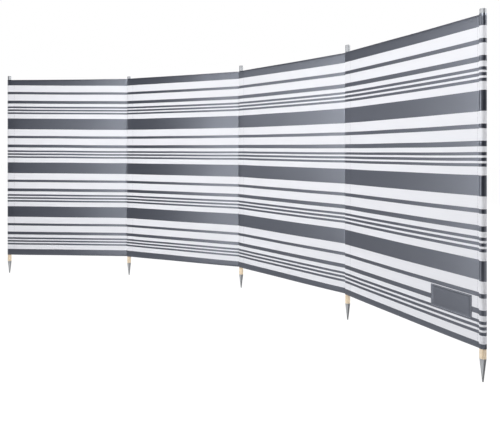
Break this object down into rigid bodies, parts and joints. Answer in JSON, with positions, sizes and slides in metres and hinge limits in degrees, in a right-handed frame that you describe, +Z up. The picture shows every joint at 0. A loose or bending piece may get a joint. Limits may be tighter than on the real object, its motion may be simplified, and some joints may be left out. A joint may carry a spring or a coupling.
{
  "type": "beach windbreak",
  "caption": "Free-standing striped cloth screen in bays, sewn in sleeves round capped wooden poles whose steel spikes are pushed into sand to shelter people from the wind.",
  "frame": {"origin": "centre of the blunt point of the middle pole's ground spike, at ground level", "axes": "+X along the row from the first pole to the last, +Y to the windward side, away from the people it shelters, +Z up the poles"},
  "size_m": [3.3903, 0.6956, 1.485],
  "materials": {
    "pole_wood": "turned and sanded pale softwood",
    "cap_steel": "pressed, zinc plated",
    "spike_steel": "rolled sheet, zinc plated",
    "striped_cloth": "plain woven polyester with woven slate grey and white stripes",
    "patch_cloth": "plain woven grey patch"
  },
  "bodies": {
    "root": {"pole_1": "pole_wood", "pole_2": "pole_wood", "pole_3": "pole_wood", "pole_4": "pole_wood", "pole_5": "pole_wood", "pole_cap_1": "cap_steel", "pole_cap_2": "cap_steel", "pole_cap_3": "cap_steel", "pole_cap_4": "cap_steel", "pole_cap_5": "cap_steel", "ground_spike_1": "spike_steel", "ground_spike_2": "spike_steel", "ground_spike_3": "spike_steel", "ground_spike_4": "spike_steel", "ground_spike_5": "spike_steel", "pole_sleeve_1": "striped_cloth", "pole_sleeve_2": "striped_cloth", "pole_sleeve_3": "striped_cloth", "pole_sleeve_4": "striped_cloth", "pole_sleeve_5": "striped_cloth", "bay_cloth_1": "striped_cloth", "bay_cloth_2": "striped_cloth", "bay_cloth_3": "striped_cloth", "bay_cloth_4": "striped_cloth", "label_patch": "patch_cloth"}
  },
  "joints": []
}
